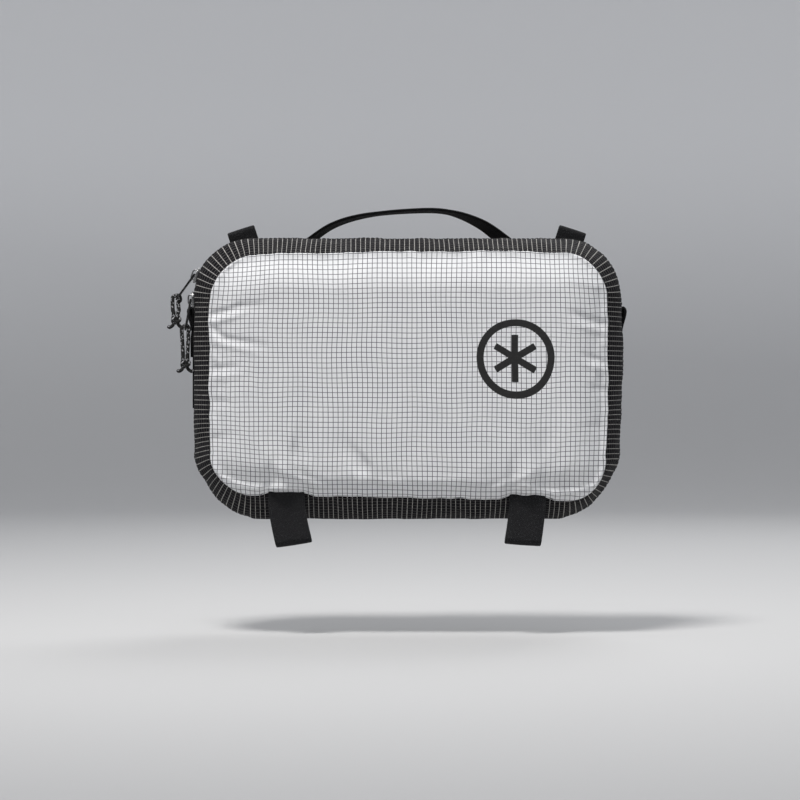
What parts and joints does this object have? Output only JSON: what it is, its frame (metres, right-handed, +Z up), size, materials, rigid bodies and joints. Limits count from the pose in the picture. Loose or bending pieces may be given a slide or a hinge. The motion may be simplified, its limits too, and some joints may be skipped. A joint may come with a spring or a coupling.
{
  "type": "chest pouch",
  "caption": "Padded clamshell chest pouch with a domed front, ripstop gusset, wrap-round coil zip, carry handle and webbing loops.",
  "frame": {"origin": "centre of the flat back face, which lies against the wearer's chest", "axes": "+X across the pouch to the right as seen from the front, +Y out of the back towards the wearer, +Z up"},
  "size_m": [0.321, 0.0829, 0.2374],
  "materials": {
    "front_ripstop": "white coated ripstop with a fine dark grid",
    "gusset_ripstop": "black ripstop with raised pale threads",
    "spacer_mesh": "black spacer mesh",
    "foam": "closed-cell foam",
    "lining": "smooth grey lining",
    "pocket_mesh": "open knit mesh",
    "binding": "grosgrain binding",
    "webbing": "woven charcoal webbing",
    "handle_webbing": "flat black webbing",
    "zip_tape": "woven zip tape",
    "zip_coil": "nylon coil",
    "zip_metal": "worn gunmetal plating",
    "zip_pull_metal": "dark gunmetal plating",
    "cord": "black cord with pale reflective flecks"
  },
  "bodies": {
    "back_half": {"back_panel": "spacer_mesh", "back_foam": "foam", "back_lining": "lining", "rear_gusset": "gusset_ripstop", "rear_seam_binding": "binding", "inner_pocket": "pocket_mesh", "inner_pocket_elastic": "binding", "rear_zip_tape": "zip_tape", "rear_zip_coil": "zip_coil", "zip_stop_left": "zip_metal", "zip_stop_right": "zip_metal", "anchor_loop_left": "webbing", "anchor_loop_right": "webbing", "side_loop_left": "webbing", "side_loop_right": "webbing", "handle_foot_left": "handle_webbing", "handle_foot_right": "handle_webbing"},
    "lid": {"front_panel": "front_ripstop", "front_foam": "foam", "front_lining": "lining", "front_gusset": "gusset_ripstop", "front_seam_binding": "binding", "front_zip_tape": "zip_tape", "front_zip_coil": "zip_coil"},
    "slider_lower": {"zip_slider_lower": "zip_metal"},
    "pull_lower": {"zip_tab_lower": "zip_pull_metal", "zip_cord_lower": "cord", "zip_knot_lower": "cord"},
    "slider_upper": {"zip_slider_upper": "zip_metal"},
    "pull_upper": {"zip_tab_upper": "zip_pull_metal", "zip_cord_upper": "cord", "zip_knot_upper": "cord"},
    "loop_left": {"lash_loop_left": "webbing"},
    "loop_right": {"lash_loop_right": "webbing"},
    "handle": {"carry_handle": "handle_webbing"}
  },
  "joints": [
    {"name": "lid_fold", "type": "hinge", "parent": "back_half", "child": "lid", "pos_m": [0, -0.036, -0.097], "axis": [1, 0, 0], "range_deg": [0, 95]},
    {"name": "slider_lower_run", "type": "slide", "parent": "back_half", "child": "slider_lower", "axis": [0, 0, -1], "range_m": [0, 0.1]},
    {"name": "slider_upper_turn", "type": "hinge", "parent": "back_half", "child": "slider_upper", "pos_m": [-0.109, -0.036, 0.057], "axis": [0, 1, 0], "range_deg": [0, 68]},
    {"name": "pull_lower_swing", "type": "hinge", "parent": "slider_lower", "child": "pull_lower", "pos_m": [-0.1514, -0.036, 0.054], "axis": [0, 1, 0], "range_deg": [0, 110]},
    {"name": "pull_upper_swing", "type": "hinge", "parent": "slider_upper", "child": "pull_upper", "pos_m": [-0.14884, -0.036, 0.0715], "axis": [0, 1, 0], "range_deg": [0, 110]},
    {"name": "loop_left_swing", "type": "hinge", "parent": "lid", "child": "loop_left", "pos_m": [-0.083, -0.0705, -0.0875], "axis": [1, 0, 0], "range_deg": [-85, 35]},
    {"name": "loop_right_swing", "type": "hinge", "parent": "lid", "child": "loop_right", "pos_m": [0.083, -0.0705, -0.0875], "axis": [1, 0, 0], "range_deg": [-85, 35]},
    {"name": "handle_swing", "type": "hinge", "parent": "back_half", "child": "handle", "pos_m": [0, -0.013, 0.0952], "axis": [1, 0, 0], "range_deg": [-75, 45]}
  ],
  "couplings": [
    {"joint": "pull_lower_swing", "follows": "pull_upper_swing", "ratio": 1}
  ]
}
